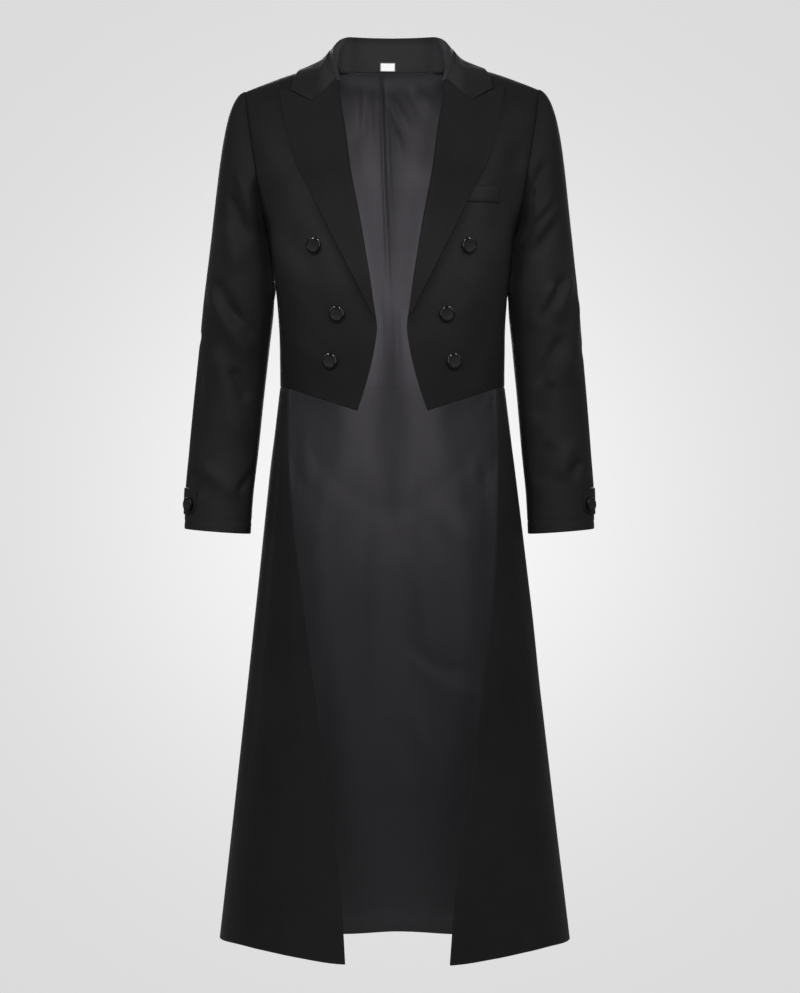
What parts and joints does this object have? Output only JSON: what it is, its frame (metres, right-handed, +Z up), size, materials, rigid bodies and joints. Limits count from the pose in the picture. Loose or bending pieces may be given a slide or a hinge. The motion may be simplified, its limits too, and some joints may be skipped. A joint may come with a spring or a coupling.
{
  "type": "double-breasted tailcoat with long wrap skirt, filled out with no wearer",
  "caption": "Long black double-breasted tailcoat with peak lapels, cut away at the waist over a full flared skirt, hollow and in its worn shape",
  "frame": {"origin": "between the two neck points on the line of the shoulders, near the height of the seam behind the neck, where the wearer's shoulders hold the coat", "axes": "+Z up, the wearer faces -Y, the wearer's left is +X"},
  "size_m": [0.6223, 0.3727, 1.3947],
  "materials": {
    "suiting": "black worsted suiting, fine twill, matt with a faint sheen",
    "collar_cloth": "the same black suiting, pressed on the collar and lapels",
    "lining": "charcoal satin lining with a soft gloss",
    "button_gloss": "polished black rim round a matt dished centre",
    "label_tape": "blank white woven tape"
  },
  "bodies": {
    "root": {"back_left": "suiting", "back_right": "suiting", "button_left_1": "button_gloss", "button_left_2": "button_gloss", "button_left_3": "button_gloss", "button_right_1": "button_gloss", "button_right_2": "button_gloss", "button_right_3": "button_gloss", "chest_welt": "suiting", "collar": "collar_cloth", "cuff_button_left": "button_gloss", "cuff_button_right": "button_gloss", "cuff_tab_left": "suiting", "cuff_tab_right": "suiting", "front_left": "suiting", "front_right": "suiting", "lapel_left": "collar_cloth", "lapel_right": "collar_cloth", "lining_back": "lining", "lining_skirt": "lining", "neck_label": "label_tape", "skirt_left": "suiting", "skirt_right": "suiting", "sleeve_top_left": "suiting", "sleeve_top_right": "suiting", "sleeve_under_left": "suiting", "sleeve_under_right": "suiting"}
  },
  "joints": []
}
